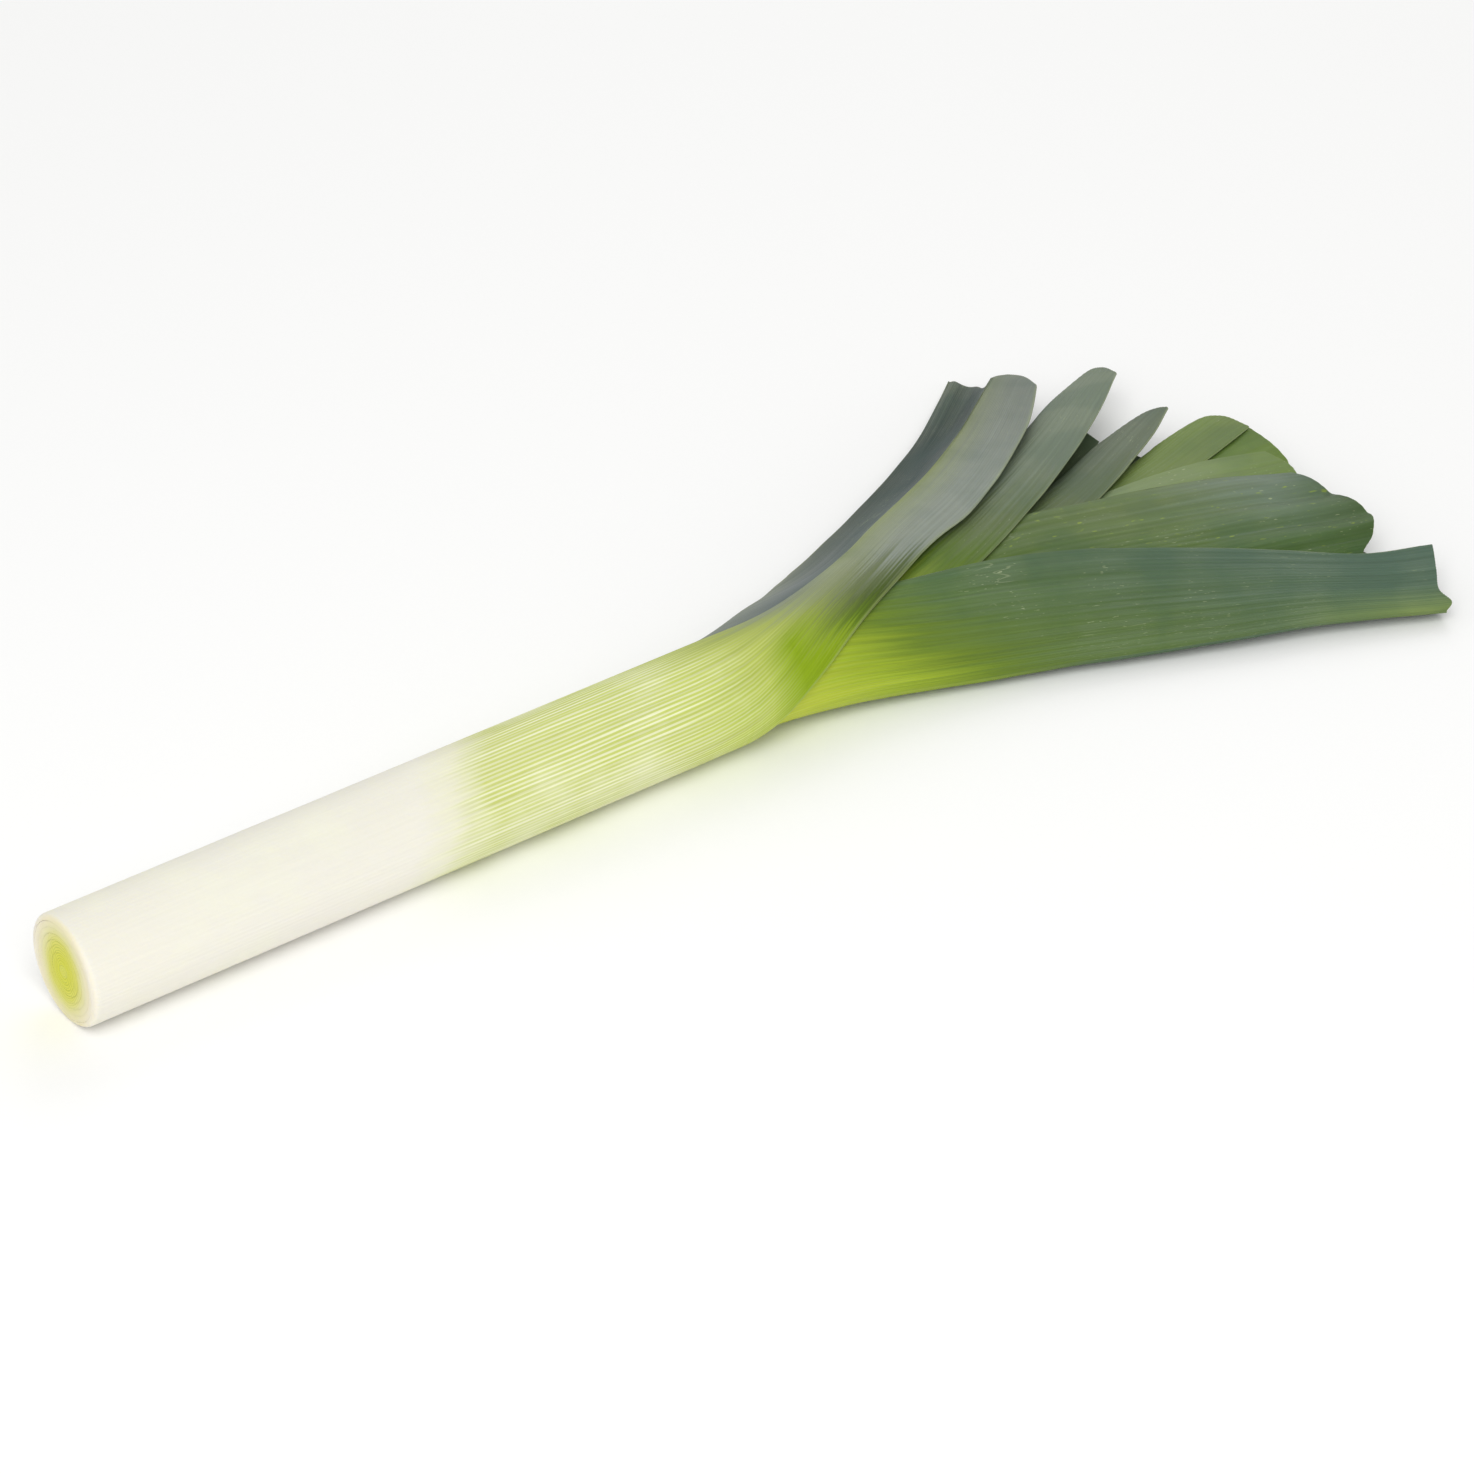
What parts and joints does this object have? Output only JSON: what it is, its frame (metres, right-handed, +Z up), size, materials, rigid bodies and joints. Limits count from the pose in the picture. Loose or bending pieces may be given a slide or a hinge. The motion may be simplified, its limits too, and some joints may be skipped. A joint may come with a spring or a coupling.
{
  "type": "leek",
  "caption": "Trimmed leek lying on its side: a pale layered shaft that opens into a flat fan of folded green leaves.",
  "frame": {"origin": "on the floor under the middle of the shaft, on the flat strip that the outer sheath rests on", "axes": "+X along the shaft from its cut end towards the leaves, +Z up from the floor it lies on"},
  "size_m": [0.509, 0.2301, 0.0379],
  "materials": {
    "leaf_1": "satin",
    "leaf_2": "satin",
    "leaf_3": "satin",
    "leaf_4": "satin",
    "leaf_5": "satin",
    "leaf_6": "satin",
    "leaf_7": "satin",
    "leaf_8": "satin",
    "heart": "satin"
  },
  "bodies": {
    "root": {"leaf_1": "leaf_1", "leaf_2": "leaf_2", "leaf_3": "leaf_3", "leaf_4": "leaf_4", "leaf_5": "leaf_5", "leaf_6": "leaf_6", "leaf_7": "leaf_7", "leaf_8": "leaf_8", "heart": "heart"}
  },
  "joints": []
}
